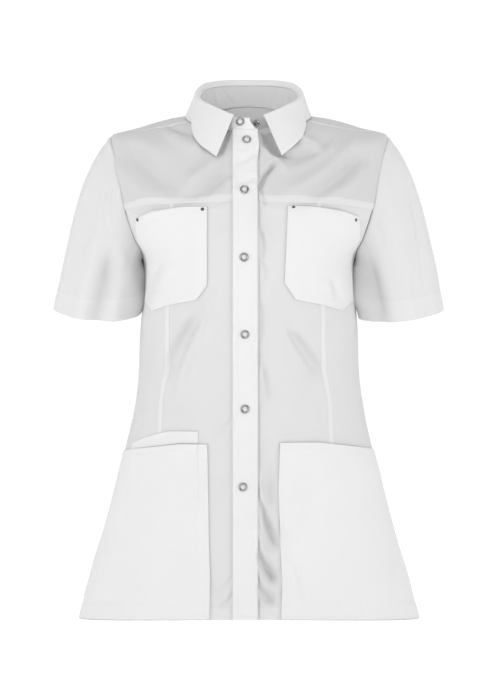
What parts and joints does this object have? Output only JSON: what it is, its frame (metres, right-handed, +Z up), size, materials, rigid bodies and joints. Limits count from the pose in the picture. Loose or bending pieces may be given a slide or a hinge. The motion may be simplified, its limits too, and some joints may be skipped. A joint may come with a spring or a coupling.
{
  "type": "short-sleeved medical tunic",
  "caption": "Women's workwear tunic with shirt collar, snap placket, short sleeves, chest and hip patch pockets, and shaped princess seams, worn shape with no wearer.",
  "frame": {"origin": "centre of the neck opening, at the height of the shoulder line, where the wearer's shoulders hold the tunic", "axes": "+Z up, front faces -Y, +X is the wearer's left"},
  "size_m": [0.564, 0.2664, 0.7855],
  "materials": {
    "cloth": "matt white poly-cotton twill",
    "snap_ring": "bright metal",
    "dark_metal": "dark metal"
  },
  "bodies": {
    "root": {"back": "cloth", "back_yoke": "cloth", "front_centre_right": "cloth", "front_centre_left": "cloth", "front_side_right": "cloth", "front_side_left": "cloth", "front_yoke_right": "cloth", "front_yoke_left": "cloth", "placket_right": "cloth", "placket_left": "cloth", "collar_stand": "cloth", "collar_fall": "cloth", "sleeve_right": "cloth", "sleeve_left": "cloth", "chest_pocket_right": "cloth", "chest_pocket_left": "cloth", "hip_pocket_right": "cloth", "hip_pocket_left": "cloth", "phone_pocket_right": "cloth", "snap_1": "snap_ring", "snap_2": "snap_ring", "snap_3": "snap_ring", "snap_4": "snap_ring", "snap_5": "snap_ring", "snap_6": "snap_ring", "snap_collar": "snap_ring", "snap_collar_stud": "dark_metal", "rivet_1": "dark_metal", "rivet_2": "dark_metal", "rivet_3": "dark_metal", "rivet_4": "dark_metal"}
  },
  "joints": []
}
